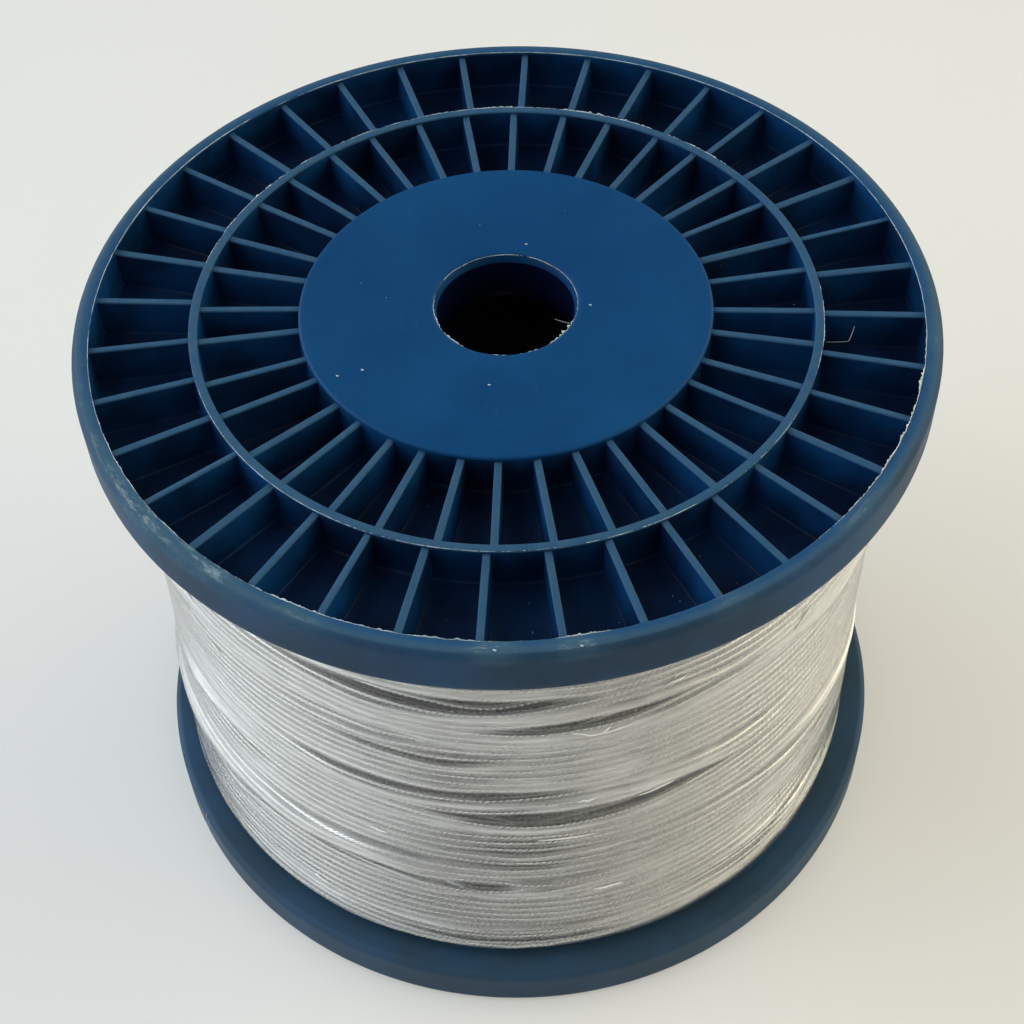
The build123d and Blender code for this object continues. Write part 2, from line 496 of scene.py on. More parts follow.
def flange_profile():
    """The flange's closed section as rows of (radius, depth, zone). The zone tells which ribs cross it."""
    fillet = 0.45
    half = RING_WALL / 2
    ring_in, ring_out = RING_R - half, RING_R + half
    t, plate, collar, spigot = FLANGE_T, 2.0, 12.5, 27.3
    rows = []

    def add(points, zone):
        rows.extend((r, d, zone) for r, d in points)

    add([(BORE_R, t - 0.15), (BORE_R, 5.2), (BORE_R, 3.2), (BORE_R, 1.35)], "plain")
    add([(BORE_R + 0.04, 1.18), (BORE_R + 0.28, 0.6), (BORE_R + 0.5, 0.12), (BORE_R + 0.62, 0.02)], "plain")
    add([(r, 0.0) for r in (11.2, 13, 15.5, 18, 20.5, 23, 25.5, 27.6, 28.9)], "plain")
    add(arc((HUB_R - 0.45, 0.45), 0.45, -90, 0, 6), "plain")
    add([(HUB_R, 0.62)], "inner")
    add([(HUB_R + 0.01, RIB_DOWN + 0.02), (HUB_R + 0.03, 1.2), (HUB_R + 0.06, 3.6)], "inner")
    add(arc((HUB_R + 0.1 + fillet, POCKET - fillet), fillet, 180, 90, 4), "inner")
    add([(32.5, POCKET), (35.5, POCKET), (38.5, POCKET), (41.3, POCKET)], "inner")
    add(arc((ring_in - 0.1 - fillet, POCKET - fillet), fillet, 90, 0, 4), "inner")
    add([(ring_in - 0.05, 3.6), (ring_in - 0.02, 1.2)], "inner")
    add([(ring_in - 0.01, RIB_DOWN + 0.02), (ring_in, 0.6)], "inner")
    add(arc((ring_in + 0.22, RING_DOWN + 0.22), 0.22, 180, 270, 4), "ring")
    add([(RING_R, RING_DOWN - 0.01)], "ring")
    add(arc((ring_out - 0.22, RING_DOWN + 0.22), 0.22, -90, 0, 4), "ring")
    add([(ring_out, 0.6), (ring_out + 0.01, RIB_DOWN + 0.02)], "outer")
    add([(ring_out + 0.02, 1.2), (ring_out + 0.05, 3.6)], "outer")
    add(arc((ring_out + 0.1 + fillet, POCKET - fillet), fillet, 180, 90, 4), "outer")
    add([(48.5, POCKET), (51.5, POCKET), (54.5, POCKET), (57.6, POCKET)], "outer")
    add(arc((RIM_IN - 0.08 - fillet, POCKET - fillet), fillet, 90, 0, 4), "outer")
    add([(RIM_IN - 0.05, 3.6), (RIM_IN - 0.02, 1.4)], "outer")
    add([(RIM_IN - 0.01, RIB_DOWN + 0.05), (RIM_IN, 0.5)], "outer")
    add([(RIM_IN, 0.2), (RIM_IN + 0.06, 0.06), (RIM_IN + 0.2, 0.0)], "rim")
    add([(60.6, 0.0), (61.0, 0.0)], "rim")
    add(arc((FLANGE_R - 1.25, 1.25), 1.25, -90, 0, 9), "side")
    add([(FLANGE_R, 2.3), (FLANGE_R, 4.0), (FLANGE_R, 5.7)], "side")
    add(arc((FLANGE_R - 1.25, t - 1.25), 1.25, 0, 90, 7), "side")
    add([(59.5, t), (57, t), (50, t), (40, t), (30, t), (spigot + 0.3, t), (spigot, t + 0.3)], "under")
    add([(spigot, t + 4), (spigot, t + 9.6), (spigot - 0.4, t + 10), (spigot - 1.7, t + 10)], "under")
    add([(25.2, t + 9.6), (25.2, t + 4), (25.2, 7.4)], "under")
    add([(25.2, 4.5), (25.2, 2.6)], "gusset")
    add([(24.8, plate), (21, plate), (17, plate), (collar + 0.5, plate)], "gusset")
    add([(collar, 2.6), (collar, 5.0)], "gusset")
    add([(collar, 7.85), (collar - 0.15, t), (BORE_R + 0.15, t)], "under")
    return rows


def rib_columns():
    """Half of one rib's cross section: (offset from its middle, depth of its surface), in mm."""
    half, root = 0.525, 0.66
    side = [(0.30, RIB_DOWN), (0.43, RIB_DOWN + 0.035)]
    side += [(half - 0.015, RIB_DOWN + 0.14), (half + 0.01, RIB_DOWN + 0.35)]
    side += [(root - 0.02, POCKET - 0.42), (root + 0.07, POCKET - 0.12), (root + 0.3, POCKET)]
    return side


def soft_minimum(a, b, reach):
    """The smaller of two depths, rounded where they cross."""
    h = np.clip(reach - np.abs(a - b), 0, None) / reach
    return np.minimum(a, b) - h * h * reach / 4


def inner_rib_angles():
    """The inner ribs wander from even spacing: every other one leans a little to the other side."""
    k = np.arange(RIBS)
    even = k * 360 / RIBS
    side = np.where(k % 2 == 0, 1, -1)
    return np.radians(INNER_PHASE + even + side * INNER_WANDER * np.cos(np.radians(even)))


def outer_rib_angles():
    """The outer ribs stand evenly."""
    return np.radians(OUTER_PHASE + np.arange(RIBS) * 360 / RIBS)


def column_angles(ribs, radius, side):
    """Angles of all columns at one radius for one set of ribs."""
    offsets = np.array([t for t, _ in side])
    lean = np.arcsin(offsets / radius)
    middle = ribs[:, None]
    gap_end = np.append(ribs[1:], ribs[0] + TAU)[:, None]
    right = middle + lean[None, :]
    left = gap_end - lean[None, ::-1]
    first, last = right[:, -1:], left[:, :1]
    floor = first + (last - first) * np.array([[0.25, 0.5, 0.75]])
    return np.concatenate([middle, right, floor, left], 1)


# Scuffs on the rim: azimuth and half width in degrees, and how white they are
SCUFFS = [
    (194, 4, 0.35),
    (206, 6, 0.6),
    (216, 5, 1.0),
    (228, 8, 0.9),
    (243, 4, 0.45),
    (267, 2.5, 0.9),
    (277, 3, 0.7),
    (296, 3, 0.4),
    (318, 5, 0.5),
    (350, 6, 0.35),
]


def scuffs(theta):
    """Where the rim has been rubbed white, mostly at its front left."""
    turn = np.degrees(theta) % 360
    total = np.zeros(theta.shape)
    for middle, width, depth in SCUFFS:
        total += depth * np.exp(-(((turn - middle) / width) ** 2))
    return total


def rib_share(zone, r):
    """Which ribs a row of the section follows: 0 for the inner ones, 1 for the outer ones."""
    if zone in ("inner", "plain") or (zone == "ring" and r < RING_R) or r <= 27:
        return 0.0
    if zone == "ring" and abs(r - RING_R) < 0.01:
        return 0.5
    return 1.0


def row_looks(zone, r, depth, d, theta, rib_top):
    """How one row of the section looks: how worn it is (with a painted highlight along the rim's outer edge),
    how much painted light it keeps (1 the lit face colour, lower painted shade, below 0 the darkest shade),
    how dusty.
    """
    wear_and_edge_highlight = painted_light_level = dust = 0.0
    if zone in ("inner", "outer"):
        on_rib = (rib_top < RIB_DOWN + 0.2) & (depth > RIB_DOWN - 0.1)
        wear_and_edge_highlight = 0.85 * on_rib
        # rib tops keep the lit colour; rib sides get painted shade, pocket floors a darker painted shade
        painted_light_level = on_rib - 0.6 * (d > POCKET - 0.15)
    elif zone == "ring":
        wear_and_edge_highlight, painted_light_level = 0.85, 1
    elif zone == "rim":
        # lighter toward the rim's outer round edge: partly rubbing, partly a painted highlight band
        wear_and_edge_highlight = 0.45 + 0.5 * ease((r - RIM_IN - 0.6) / 0.8) + scuffs(theta)
        painted_light_level = 1
    elif zone == "plain":
        # painted shade on the bore's chamfer, and the darkest painted shade on the bore wall below it
        painted_light_level = 1 if depth < 0.1 or r > HUB_R - 0.2 else 0.55
        if r < BORE_R + 0.1 and depth > 1.3:
            painted_light_level = -1
    elif zone in ("side", "under"):
        # side walls and undersides are painted in shade except along the top of the outer round edge, which
        # is also painted lighter as a highlight on top of the rubbing and scuffs
        painted_light_level = 0.12 + 0.88 * (depth < 0.12)
        wear_and_edge_highlight = 0.22 + 0.6 * (depth < 0.12) + scuffs(theta) * (depth < 2) + 0.1 * (zone == "under")
        dust = 0.25
    return wear_and_edge_highlight, painted_light_level, dust


def flange_points(seed):
    """The flange as a grid of points with its outer face at depth 0, and the looks of each point."""
    side = rib_columns()
    rib_depth = np.array([RIB_DOWN] + [d for _, d in side] + [POCKET] * 3 + [d for _, d in side[::-1]])
    rib_top = np.tile(rib_depth, RIBS)
    count = len(rib_top)
    inner, outer = inner_rib_angles(), outer_rib_angles()
    profile = flange_profile()
    local = np.random.default_rng(seed)
    drop = {"inner": local.normal(0, 0.05, RIBS), "outer": local.normal(0, 0.06, RIBS)}
    wave = smooth_noise((len(profile), count), (12, 90), seed + 1)
    slow = smooth_noise((len(profile), count), (6, 24), seed + 2)
    points = np.zeros((len(profile), count, 3))
    wear_and_edge_highlight, painted_light_level, dust = np.zeros((3, len(profile), count))
    gusset_turn = 360 / GUSSETS
    for i, (r, depth, zone) in enumerate(profile):
        ribs_in = column_angles(inner, max(r, 28.0) if r < RING_R else r, side).ravel()
        ribs_out = column_angles(outer, max(r, 40.0), side).ravel()
        share = rib_share(zone, r)
        theta = ribs_in * (1 - share) + ribs_out * share
        radius = r + 0.05 * slow[i] * (zone == "ring")
        d = np.full(count, depth)
        if zone in ("inner", "outer"):
            sunk = np.repeat(drop[zone], len(rib_depth))
            top = rib_top + np.where(rib_top < POCKET - 1, sunk + 0.03 * wave[i], 0)
            d = soft_minimum(d, top, 0.22)
            d = d + np.where(d > POCKET - 0.3, 0.03 * slow[i], 0)
        elif zone == "gusset":
            angle = np.degrees(theta) % gusset_turn
            across = np.radians(np.minimum(angle, gusset_turn - angle)) * r
            d = np.where(across < GUSSET_W / 2, FLANGE_T - 0.02, d)
        elif zone in ("ring", "rim"):
            d = d + 0.03 * wave[i]
        points[i] = around(radius, theta, d)
        wear_and_edge_highlight[i], painted_light_level[i], dust[i] = row_looks(zone, r, depth, d, theta, rib_top)
    return points, {"wear_and_edge_highlight": wear_and_edge_highlight, "open": painted_light_level, "dust": dust}


def flange_pieces(material):
    """Both flanges: the upper one has its ribbed face up, the lower one is the same moulding turned over."""
    points, looks = flange_points(3)
    upper = points.copy()
    upper[..., 2] = OVERALL - points[..., 2]
    high = grid_object("upper_flange_skin", upper, True, flip=True, material=material, extra=looks)
    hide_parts("upper_flange")
    lower = points.copy()
    lower[..., 1] *= -1
    lower[..., 2] = np.maximum(lower[..., 2], 0)
    looks = looks | {"dust": 1.8 * looks["dust"]}
    low = grid_object("lower_flange_skin", lower, True, flip=True, material=material, extra=looks)
    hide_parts("lower_flange")
    for piece in (high, low):
        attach(piece, "root")


# ---------------- moulding flash, dust and fibres

def patches(angle, seed, cells, spots):
    """How much flash stands at each angle: a drifting amount, more at the spots (angle, width, amount)."""
    count = len(angle)
    amount = 0.5 + 0.9 * smooth_noise((1, count), (1, cells), seed)[0]
    for middle, width, extra in spots:
        away = (angle - middle + 180) % 360 - 180
        amount = amount + extra * np.exp(-((away / width) ** 2))
    return np.clip(amount, 0, 1.6)


def flash_ring(name, radius, level, tall, seed, spots, lean, material):
    """An uneven fin of moulding flash round one edge of the upper flange. Its ends sink into the plastic."""
    count = 2400
    angle = 360 * np.arange(count) / count
    local = np.random.default_rng(seed)
    grain = 80 / radius
    jagged = np.abs(blur(local.normal(0, 1, (1, count)), 0.1, grain)[0]) * math.sqrt(grain)
    jagged += np.abs(blur(local.normal(0, 1, (1, count)), 0.1, 5 * grain)[0]) * 2 * math.sqrt(grain)
    height = tall * (0.25 + jagged) * patches(angle, seed, 40, spots) - 0.05
    sway = lean + 0.12 * smooth_noise((1, count), (1, 200), seed + 5)[0]
    low, high = np.full(count, level - 0.12), level + np.clip(height, -0.06, 0.7)
    out = sway * np.clip(height, 0, None) * 2
    rows = [(radius - 0.05, low), (radius + 0.05, low)]
    rows += [(radius + out + 0.02, high), (radius + out - 0.02, high)]
    points = np.stack([around(r, np.radians(angle), z) for r, z in rows])
    piece = grid_object(name, points, wrap_rows=True, material=material)
    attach(piece, "root")


def tube(path, radius):
    """A closed six-sided tube along a path, its radius one number or one for each point: points and quads."""
    path = np.asarray(path, float)
    along = np.gradient(path, axis=0)
    along /= np.linalg.norm(along, axis=1)[:, None]
    across = np.cross(along, [0.0, 0.0, 1.0])
    across /= np.linalg.norm(across, axis=1)[:, None]
    up = np.cross(across, along)
    turn = TAU * np.arange(6) / 6
    radius = np.broadcast_to(radius, len(path))[:, None, None]
    ring = np.cos(turn)[None, :, None] * across[:, None] + np.sin(turn)[None, :, None] * up[:, None]
    points = (path[:, None] + radius * ring).reshape(-1, 3)
    index = np.arange(len(points)).reshape(len(path), 6)
    a, b = index[:-1], index[1:]
    quads = np.stack([a, np.roll(a, -1, 1), np.roll(b, -1, 1), b], -1).reshape(-1, 4)
    caps = [index[0, [3, 2, 1, 0]], index[0, [5, 4, 3, 0]], index[-1, [0, 1, 2, 3]], index[-1, [0, 3, 4, 5]]]
    return points, np.concatenate([quads, np.array(caps)])


def joined(name, bodies, material):
    """Several small bodies, each given by its points and faces, as one piece."""
    points, faces, base = [], [], 0
    for p, f in bodies:
        points.append(p)
        faces.append(f + base)
        base += len(p)
    piece = mesh_object(name, np.concatenate(points), np.concatenate(faces), material)
    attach(piece, "root")


def curved(points, count):
    """A smooth path through a few points."""
    points = np.asarray(points, float)
    at = np.linspace(0, len(points) - 1, count)
    coarse = np.stack([np.interp(at, np.arange(len(points)), points[:, k]) for k in range(3)], -1)
    return np.stack([smooth_along(coarse[:, k], count / 24) for k in range(3)], -1)


def flash(material):
    """Flash round the rim, ring and bore."""
    rim_spots = [(15, 18, 0.9), (40, 20, 0.8), (80, 30, 0.4), (165, 30, 0.4)]
    rim_spots += [(205, 14, 0.6), (278, 2.5, 1.6), (330, 20, 0.4)]
    flash_ring("rim_flash", RIM_IN + 0.06, OVERALL - 0.05, 0.14, 71, rim_spots, -0.5, material)
    ring_spots = [(68, 8, 1.5), (95, 12, 0.8), (120, 10, 0.6), (262, 6, 0.7), (205, 10, 0.5)]
    ring_top = OVERALL - RING_DOWN
    flash_ring("ring_flash", RING_R + 0.55, ring_top - 0.06, 0.11, 73, ring_spots, 0.3, material)
    bore_spots = [(324, 11, 1.8), (130, 14, 0.5), (200, 3, 1.0), (40, 14, 0.6)]
    flash_ring("bore_flash", BORE_R + 0.5, OVERALL - 0.13, 0.10, 75, bore_spots, -0.9, material)


def dust_flakes(material, count=110):
    """Flakes of plastic dust: some larger ones at their own places, the others scattered."""
    top = OVERALL
    local = np.random.default_rng(77)
    marked = [(12.9, 75.3), (12.1, -5.3), (27.5, -150.9), (16.5, -100.0), (24, -149)]
    marked += [(61.4, -93), (61.6, -83)]
    flakes = []
    for radius, angle in marked:
        here = polar(radius, angle, top + 0.03)
        flakes.append(tube(curved([here, (here[0] + 0.35, here[1] - 0.16, top + 0.05)], 5), 0.11))
    for _ in range(count):
        radius = math.sqrt(local.uniform(32**2, 60**2)) if local.random() < 0.9 else local.uniform(11, 29)
        level = top - POCKET if radius > 31 else top
        here = np.array(polar(radius, local.uniform(0, 360), level + 0.02))
        step = local.normal(0, 0.16, 3) * (1, 1, 0.1)
        flakes.append(tube([here, here + step / 2, here + step], local.uniform(0.025, 0.05)))
    joined("dust_flakes", flakes, material)


def stray_hairs(material):
    """One hair in a pocket, one caught on the lower rim, and one across the bore."""
    deep = OVERALL - POCKET
    hair = [polar(46.0, -10.6, deep + 4.6), polar(49.4, -9.6, deep + 4.3), polar(50.2, -6.6, deep + 4.9)]
    loop = [polar(62.2, -151.6, 8.1), polar(62.9, -150.6, 7.4)]
    loop += [polar(63.0, -149.6, 6.0), polar(62.4, -150.4, 7.9)]
    across = [polar(9.9, -20, 95.6), polar(8.8, -12, 94.4), polar(7.9, -2, 93.2), polar(7.2, 8, 92.4)]
    hairs = [tube(curved(path, 28), 0.035) for path in (hair, loop, across)]
    joined("hairs", hairs, material)


# ---------------- the wire

# The strand's wires go round once in LAY. The turns lie in a bed that starts BED_DEPTH under the surface,
# on a grid of CELL in height and SAMPLES columns a turn
STRAND_R = 0.71
TURN_PITCH = 1.70
LAY = 11.5
BED_DEPTH = 4.25
MEAN_TURN_R = 57.3
STEPS_PER_TURN = 408
RINGS_PER_PIECE = 4000
SAMPLES = 720
CELL = 0.1
NOISE_ROWS = 24
JOIN = 24
SEAM = math.radians(90)
# Gaps between groups of turns: azimuth and height of both ends in degrees and millimetres, and the opening
GAPS = [
    (-136, 79.8, -76, 77.3, 1.7),
    (-124, 64.5, -90, 63.3, 0.55),
    (-132, 53.6, -78, 55.5, 0.9),
    (-100, 70.6, -54, 75.5, 0.8),
    (-102, 46.0, -50, 53.8, 1.5),
    (-124, 15.0, -72, 16.2, 0.45),
    (-118, 9.9, -30, 9.7, 0.5),
    (-128, 34.2, -82, 27.0, 0.35),
    (-104, 37.0, -78, 36.6, 0.3),
    (-110, 50.8, -84, 52.2, 0.3),
    (-176, 70, -138, 67, 0.6),
    (-166, 31, -128, 29, 0.4),
    (-160, 47, -124, 44, 0.35),
    (-56, 37, -20, 40, 0.5),
    (-64, 21, -28, 19, 0.4),
    (20, 60, 62, 64, 1.1),
    (50, 30, 86, 28, 0.9),
    (94, 52, 136, 49, 1.1),
    (112, 72, 152, 69, 1.1),
    (150, 45, 180, 42, 0.8),
    (0, 24, 38, 22, 0.7),
]


def surface_radius(height, angle):
    """The radius that the winding reaches: fuller low down and towards its left side."""
    full = np.interp(height, [8, 16, 28, 41, 56, 72, 89], [58.5, 58.3, 57.9, 57.3, 57.0, 57.0, 57.1])
    low = np.clip((55 - height) / 45, 0, 1)
    return full - 0.75 * low * np.cos(angle)


def ease(share):
    """Rises smoothly from 0 to 1."""
    t = np.clip(share, 0, 1)
    return t * t * (3 - 2 * t)


def part_turns(height, angle, open_by):
    """Moves one turn away from each gap, to the side it mostly lies on. A gap closes at both ends."""
    moved = np.array(height, float)
    for start, low, end, high, opening in GAPS:
        along = ((np.degrees(angle) - start) % 360) / (end - start)
        lens = ease(along / 0.45) * ease((1 - along) / 0.45) * (along < 1)
        away = moved - (low + (high - low) * np.clip(along, 0, 1))
        side = 1 if (away * lens).sum() > 0 else -1
        reach = np.clip(away * side, 0, None)
        shift = opening * open_by * np.exp(-reach / 5.5)
        shift = np.maximum(shift, opening * open_by + 0.3 - away * side)
        moved += side * lens * np.clip(shift, 0, 3.0)
    return np.clip(moved, TRAVERSE_LOW + STRAND_R, TRAVERSE_HIGH - STRAND_R)


def smooth_along(values, width):
    """A Gaussian blur along a strand; width in samples."""
    reach = int(3 * width)
    kernel = np.exp(-0.5 * (np.arange(-reach, reach + 1) / width) ** 2)
    padded = np.concatenate([np.full(reach, values[0]), values, np.full(reach, values[-1])])
    return np.convolve(padded, kernel / kernel.sum(), "valid")


def lay_wire():
    """Winds the last layers: each turn rests on what lies under it. Returns the turns and the surface."""
    rows = int((TRAVERSE_HIGH - TRAVERSE_LOW) / CELL) + 1
    heights = TRAVERSE_LOW + CELL * np.arange(rows)
    turn_angles = SEAM + TAU * np.arange(SAMPLES) / SAMPLES
    full = surface_radius(heights[:, None], turn_angles[None, :])
    surface = full - BED_DEPTH
    width = np.arange(-7, 8)
    rise = np.sqrt(STRAND_R**2 - (CELL * width) ** 2)
    count = int((TRAVERSE_HIGH - TRAVERSE_LOW - 2 * STRAND_R) / TURN_PITCH)
    columns = np.arange(SAMPLES)
    turns = []
    for layer, open_by in enumerate((0.55, 0.9, 1.0)):
        wobble = smooth_noise((count * NOISE_ROWS + 1, SAMPLES), (count // 4, 5), 40 + layer)
        drift = smooth_noise((count * NOISE_ROWS + 1, SAMPLES), (count // 8, 3), 50 + layer)
        end_radius = None
        for k in range(count):
            share = columns / SAMPLES
            line = ((k + share) * NOISE_ROWS).astype(int)
            place = (k + share) * TURN_PITCH
            height = TRAVERSE_LOW + STRAND_R + place if layer % 2 else TRAVERSE_HIGH - STRAND_R - place
            edge = np.clip(np.minimum(height - TRAVERSE_LOW, TRAVERSE_HIGH - height) / 9, 0.1, 1)
            height = height + edge * (0.8 * wobble[line, columns] + 1.7 * drift[line, columns])
            height = part_turns(height, turn_angles, open_by)
            row = np.clip(((height - TRAVERSE_LOW) / CELL).round().astype(int), 0, rows - 1)
            near = np.clip(row[None, :] + width[:, None], 0, rows - 1)
            radius = (surface[near, columns[None, :]] + rise[:, None]).max(0)
            bridged = smooth_along(radius, 14)
            radius = smooth_along(np.maximum(radius, bridged), 3)
            limit = full[row, columns] - STRAND_R + 0.3
            radius = np.where(radius > limit, limit + 0.45 * np.tanh((radius - limit) / 0.45), radius)
            if end_radius is not None:
                joining = np.clip(columns / JOIN, 0, 1)
                radius = end_radius * (1 - joining) + radius * joining
            end_radius = radius[-1]
            covered = (near, np.broadcast_to(columns, near.shape))
            np.maximum.at(surface, covered, radius[None, :] + rise[:, None])
            turns.append((height, radius))
    return turns, surface


def strand_profile():
    """The outline of a strand of nineteen wires, twelve of them outside: angles and radii in mm."""
    wire = 0.4 * STRAND_R
    valley = (STRAND_R - wire / 2) * math.cos(math.radians(15))
    angles = np.radians(15.0 * np.arange(24))
    radii = np.where(np.arange(24) % 2, valley, STRAND_R)
    return angles, radii


def strand_points(height, radius, first_step):
    """Rings of points round one stretch of strand; its wires turn with the lay."""
    angles, radii = strand_profile()
    steps = first_step + np.arange(len(height))
    turn = SEAM + TAU * steps / STEPS_PER_TURN
    travelled = steps * (TAU * MEAN_TURN_R / STEPS_PER_TURN)
    twist = angles[None, :] + (TAU / LAY) * travelled[:, None]
    out = radius[:, None] + radii[None, :] * np.cos(twist)
    up = height[:, None] + radii[None, :] * np.sin(twist)
    return around(out, turn[:, None], up)


def showing(turns, surface):
    """All turns end to end, at the strand's own steps: heights, radii, and which steps show."""
    at = np.arange(STEPS_PER_TURN) * SAMPLES / STEPS_PER_TURN
    columns = np.clip(at.round().astype(int), 0, SAMPLES - 1)
    last = surface.shape[0] - 1
    heights, radii, keep = [], [], []
    for height, radius in turns:
        h = np.interp(at, np.arange(SAMPLES), height)
        r = np.interp(at, np.arange(SAMPLES), radius)
        row = ((h - TRAVERSE_LOW) / CELL).astype(int)
        spots = np.clip(row[None, :] + np.array([-9, -6, -3, 0, 3, 6, 9])[:, None], 0, last)
        cover = (surface[spots, columns[None, :]] - r[None, :]).min(0)
        heights.append(h)
        radii.append(r)
        keep.append(cover < STRAND_R + 0.35)
    keep = np.convolve(np.concatenate(keep), np.ones(9), "same") > 0
    return np.concatenate(heights), np.concatenate(radii), keep


def strand_body(height, radius, first_step):
    """One stretch of strand, closed by a fan at both ends: its points and quads."""
    ring = strand_points(height, radius, first_step)
    count, per_ring = ring.shape[:2]
    middle = np.stack([ring[0].mean(0), ring[-1].mean(0)])
    hub = count * per_ring
    index = np.arange(hub).reshape(count, per_ring)
    a, b = index[:-1], index[1:]
    quads = np.stack([a, b, np.roll(b, -1, 1), np.roll(a, -1, 1)], -1).reshape(-1, 4)
    caps = []
    for j in range(0, per_ring, 2):
        j1, j2 = (j + 1) % per_ring, (j + 2) % per_ring
        caps.append((hub, index[0, j], index[0, j1], index[0, j2]))
        caps.append((hub + 1, index[-1, j2], index[-1, j1], index[-1, j]))
    return np.concatenate([ring.reshape(-1, 3), middle]), np.concatenate([quads, np.array(caps)])


def wire_pieces(turns, surface, material):
    """The turns that show, as twisted strands. Stretches buried under later turns are left out."""
    heights, radii, keep = showing(turns, surface)
    edges = np.flatnonzero(np.diff(np.concatenate([[0], keep.astype(int), [0]])))
    groups, total = [[]], 0
    for start, end in zip(edges[::2], edges[1::2]):
        for cut in range(start, end, RINGS_PER_PIECE):
            stop = min(cut + RINGS_PER_PIECE + 1, end)
            if stop - cut <= 3:
                continue
            if groups[-1] and total + stop - cut > RINGS_PER_PIECE + 60:
                groups.append([])
                total = 0
            groups[-1].append(strand_body(heights[cut:stop], radii[cut:stop], cut))
            total += stop - cut
    for number, bodies in enumerate(groups, 1):
        joined(f"wire_turns_{number:02d}", bodies, material)


def core_piece(material):
    """The layers under the turns that show, as one closed body with a groove for each turn."""
    count = 360
    angle = TAU * np.arange(count) / count
    height = np.linspace(TRAVERSE_LOW, TRAVERSE_HIGH, 260)
    groove = 0.25 * np.abs(np.sin(np.pi * (height[:, None] + 0.8 * np.sin(3 * angle)[None, :]) / TURN_PITCH))
    outer = surface_radius(height[:, None], angle[None, :]) - BED_DEPTH - 0.3 + groove
    inner = np.full((2, count), 30.1)
    radius = np.concatenate([outer, inner])
    level = np.concatenate([height, [TRAVERSE_HIGH, TRAVERSE_LOW]])
    points = around(radius, angle, level[:, None])
    core = grid_object("wire_core", points, wrap_rows=True, material=material)
    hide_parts("wire_winding")
    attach(core, "root")


# ---------------- the film

FILM_LOW, FILM_HIGH = 11.0, 88.5
FILM_START, FILM_TURN = 62.0, 430.0
FILM_OVERLAP = FILM_TURN - 360


def spread(field, rows, columns, pick):
    """Running maximum or minimum of a field that is periodic round the winding."""
    for axis, reach in ((0, rows), (1, columns)):
        done = 1
        while done < reach:
            step = min(done, reach - done)
            if axis:
                other = np.roll(field, -step, 1)
            else:
                other = np.concatenate([field[step:], np.repeat(field[-1:], step, 0)])
            field = pick(field, other)
            done += step
        shift = reach // 2
        if axis:
            field = np.roll(field, shift, 1)
        else:
            field = np.concatenate([np.repeat(field[:1], shift, 0), field[:-shift]])
    return field


def blur(field, rows, columns):
    """Gaussian blur of a field that is periodic round the winding."""
    for axis, width in ((0, rows), (1, columns)):
        reach = max(int(2.5 * width), 1)
        weights = np.exp(-0.5 * (np.arange(-reach, reach + 1) / width) ** 2)
        weights /= weights.sum()
        total = np.zeros_like(field)
        for step, weight in zip(range(-reach, reach + 1), weights):
            if axis:
                total += weight * np.roll(field, step, 1)
            else:
                index = np.clip(np.arange(field.shape[0]) + step, 0, field.shape[0] - 1)
                total += weight * field[index]
        field = total
    return field


def film_fields(surface):
    """The radius of the taut film over the turns, and how far it stands off them."""
    bed = surface[::2]
    taut = spread(spread(bed, 45, 25, np.maximum), 45, 25, np.minimum)
    taut = blur(0.75 * taut + 0.25 * np.maximum(blur(bed, 2, 1.5), taut - 0.5), 1.6, 1.4)
    return taut, blur(np.clip(taut - bed, 0, 2.5), 3, 2)


def look(field, level, angle):
    """Reads a film field at heights in millimetres and angles in degrees."""
    column = (((np.radians(angle) - SEAM) % TAU) / TAU * SAMPLES) % SAMPLES
    row = np.clip((level - TRAVERSE_LOW) / (2 * CELL), 0, field.shape[0] - 1.001)
    i, j = row.astype(int), column.astype(int)
    u, v = row - i, column - j
    i2, j2 = np.minimum(i + 1, field.shape[0] - 1), (j + 1) % SAMPLES
    low = field[i, j % SAMPLES] * (1 - v) + field[i, j2] * v
    high = field[i2, j % SAMPLES] * (1 - v) + field[i2, j2] * v
    return low * (1 - u) + high * u


def film_looks(gap, level, angle):
    """How hazy the film is where it touches the turns, and how milky: in a stretched-white patch on the
    right, and whiter on the left side as painted light.
    """
    turned = (angle + 180) % 360 - 180
    haze = 1 - np.clip(look(gap, level, angle) / 0.7, 0, 1)
    haze = haze * (0.7 + 0.3 * ease((level - 20) / 18)) * (1 - 0.10 * np.exp(-(((turned + 88) / 30) ** 2)))
    torn = 3.0 * smooth_noise(angle.shape, (34, 240), 64)
    fade = 3 + 0.9 * np.clip(level - 34, 0, 40)
    right = np.clip((level - 25 + torn) / 1.5, 0, 1) * np.clip((turned + 54 + torn) / fade, 0, 1)
    right = right * np.clip((40 - turned) / 30, 0, 1)
    # painted light: the film on the winding's left side is made whiter
    from_left = np.abs((angle - 10) % 360 - 180)
    left = 0.9 * np.clip((60 - from_left) / 30, 0, 1)
    return {"haze": haze, "milk_and_painted_light": right + left}


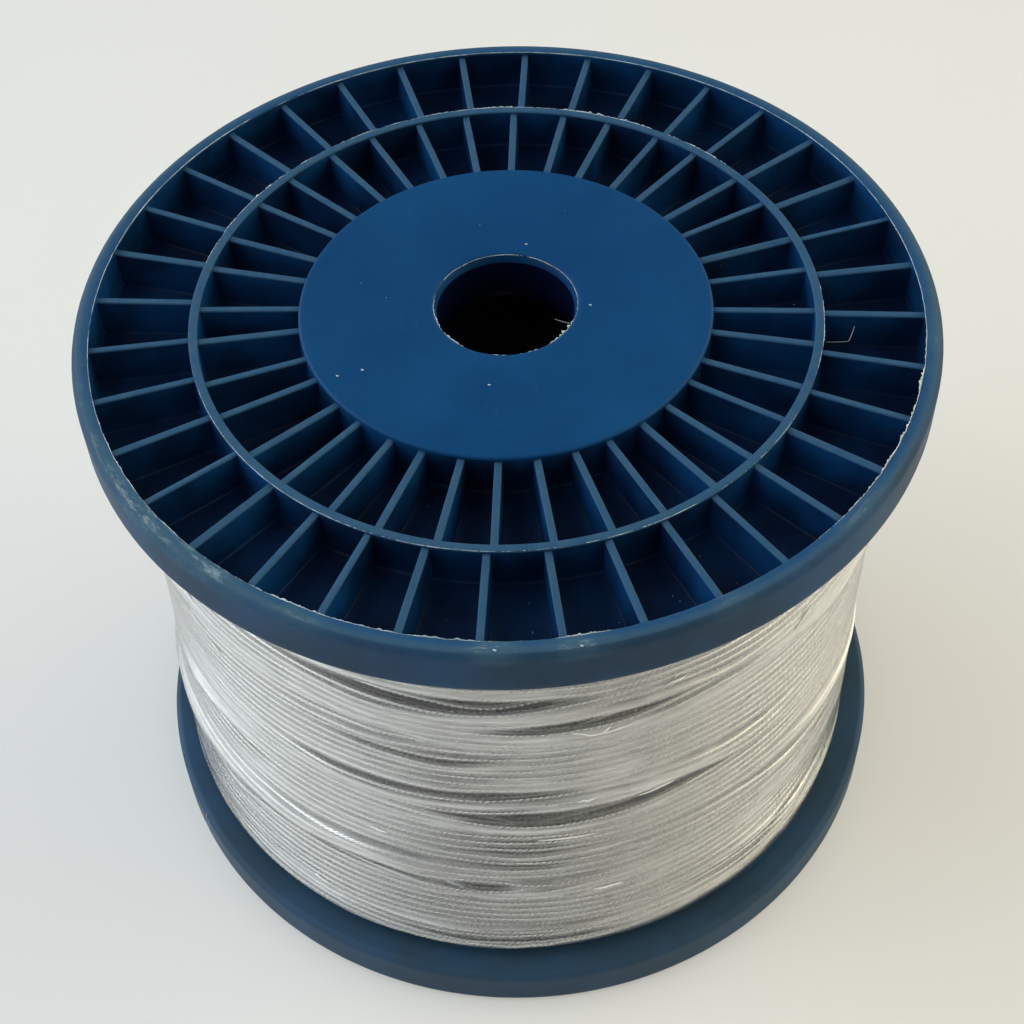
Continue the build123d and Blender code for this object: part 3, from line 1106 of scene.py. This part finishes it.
def film_piece(taut, gap, material):
    """The stretch film: tight over the turns, bridging the gaps, with creases and a ragged end."""
    rows, columns = 136, 716
    share = np.linspace(0, 1, columns)
    height = np.linspace(FILM_LOW, FILM_HIGH, rows)
    local = np.random.default_rng(21)
    ragged = 1.1 * blur(local.normal(0, 1, (rows, 1)), 1.2, 0.1) + 1.32 * np.sin(height / 9)[:, None]
    angle = FILM_START + FILM_TURN * share[None, :] + ragged * np.exp(-share[None, :] * 60)
    edge = 0.45 * blur(local.normal(0, 1, (1, columns)), 0.1, 4) + 0.5 * np.sin(np.radians(angle[:1]) * 3)
    fall = np.clip(1 - (height[:, None] - FILM_LOW) / 4, 0, 1)
    level = np.broadcast_to(height[:, None] + edge * fall, angle.shape)
    crease = smooth_noise((rows, columns), (9, 70), 61)
    fold = smooth_noise((rows, columns), (30, 24), 62)
    twice = np.clip((FILM_OVERLAP - 5 - FILM_TURN * share) / 12, 0, 1)
    radius = look(taut, level, angle) + 0.06 + 0.025 * (crease + 1) + 0.02 * (fold + 1)
    radius = radius + 0.14 * twice[None, :]
    lift = np.exp(-share * 90) * 0.05
    radius = radius + lift[None, :] * (0.4 + 0.6 * np.clip(smooth_noise((rows, columns), (14, 10), 63), 0, 1))
    points = around(radius, np.radians(angle), level)
    looks = film_looks(gap, level, angle)
    film = grid_object("stretch_film_wrap", points, wrap_columns=False, material=material, extra=looks)
    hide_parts("stretch_film")
    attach(film, "root")


# Tight folds in the film: azimuth and height of the start in degrees and millimetres, length, and rise
FOLDS = [
    (-88.5, 43.9, 9.0, -0.9),
    (-80.3, 27.2, 5.0, -0.5),
    (-80.5, 70.2, 5.5, 0.8),
    (-73.5, 51.3, 5.5, 1.2),
    (-82.5, 53.2, 2.5, 0.2),
    (-57.5, 61.6, 3.0, 1.1),
    (-70.5, 77.0, 3.5, 0.6),
    (-114.0, 40.6, 3.0, -0.2),
    (-126.0, 17.6, 3.0, -0.5),
    (-147.0, 74.0, 2.6, -1.0),
    (-141.5, 66.0, 2.4, -0.9),
    (-47.5, 72.0, 4.0, 2.2),
    (20.0, 40.0, 6.0, 0.8),
    (70.0, 62.0, 5.0, -0.6),
    (128.0, 33.0, 6.0, 0.7),
    (165.0, 58.0, 4.0, -0.8),
]


def film_folds(taut, material):
    """Short white folds, and one torn curl of film that stands off the winding."""
    made = []
    for start, height, length, rise in FOLDS:
        share = np.linspace(0, 1, 17)
        angle = start + length * share
        level = height + rise * share + 0.06 * np.sin(share * 9 + start)
        radius = look(taut, level, angle) + 0.22
        path = [polar(r, a, z) for r, a, z in zip(radius, angle, level)]
        made.append(tube(path, 0.02 + 0.15 * np.sin(np.pi * share) ** 0.6))
    curl = [(58.0, -83.5, 71.8), (58.7, -82.4, 72.6), (58.9, -81.2, 72.0)]
    curl += [(58.5, -80.2, 71.4), (58.9, -79.2, 72.3), (58.1, -78.2, 72.0)]
    made.append(tube(curved([polar(r, a, z) for r, a, z in curl], 40), 0.11))
    joined("film_folds", made, material)


# ---------------- making

camera()
studio()

blue = plastic_material()
flange_pieces(blue)
frame["nodes"]["barrel"].data.materials.clear()
frame["nodes"]["barrel"].data.materials.append(blue)
pale = burr_material()
flash(pale)
dust_flakes(pale)
stray_hairs(fibre_material())

turns, surface = lay_wire()
wire_pieces(turns, surface, wire_material())
core_piece(core_material())
taut, gap = film_fields(surface)
film_piece(taut, gap, film_material())
film_folds(taut, fold_material())
